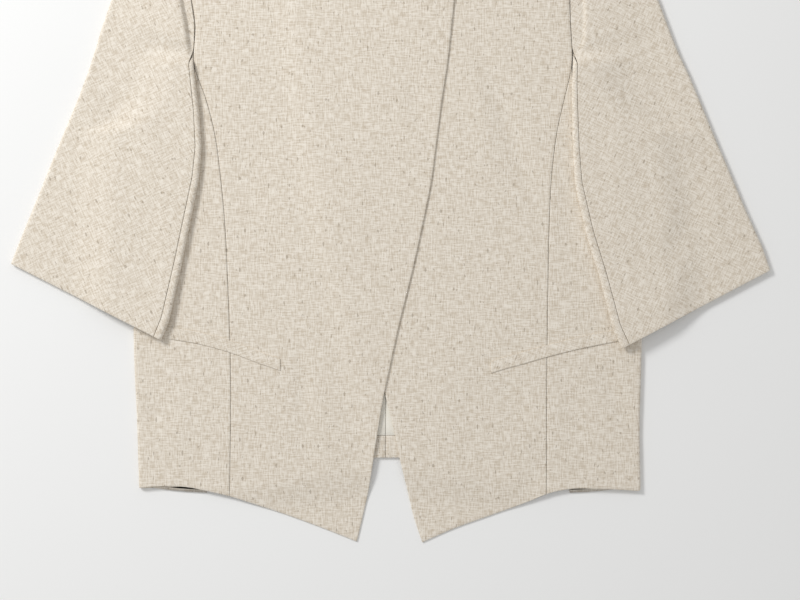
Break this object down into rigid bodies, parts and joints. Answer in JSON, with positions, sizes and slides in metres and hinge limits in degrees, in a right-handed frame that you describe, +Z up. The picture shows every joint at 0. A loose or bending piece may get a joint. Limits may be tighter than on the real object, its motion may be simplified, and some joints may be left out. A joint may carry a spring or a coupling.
{
  "type": "cropped double-breasted blazer",
  "caption": "cropped jacket laid flat face up, one front lapped over the other, flared short sleeves turned down, slanted welt pockets, pointed front hem, narrow lapels and collar",
  "frame": {"origin": "middle of the underside of the laid-out garment, on the surface it lies on", "axes": "+X towards the wearer's left sleeve, +Y towards the neck, +Z up out of the front"},
  "size_m": [0.7278, 0.673, 0.0131],
  "materials": {
    "cloth": "plain-woven linen-look suiting, natural beige, matt",
    "lining": "smooth cream lining",
    "button": "plain satin resin button"
  },
  "bodies": {
    "root": {"back_right": "cloth", "back_lining_right": "lining", "hem_turnup_right": "cloth", "side_panel_right": "cloth", "front_right": "cloth", "top_sleeve_right": "cloth", "under_sleeve_right": "cloth", "lapel_right": "cloth", "pocket_welt_right": "cloth", "button_right": "button", "back_left": "cloth", "back_lining_left": "lining", "hem_turnup_left": "cloth", "side_panel_left": "cloth", "front_left": "cloth", "top_sleeve_left": "cloth", "under_sleeve_left": "cloth", "lapel_left": "cloth", "pocket_welt_left": "cloth", "button_left": "button", "collar": "cloth"}
  },
  "joints": []
}
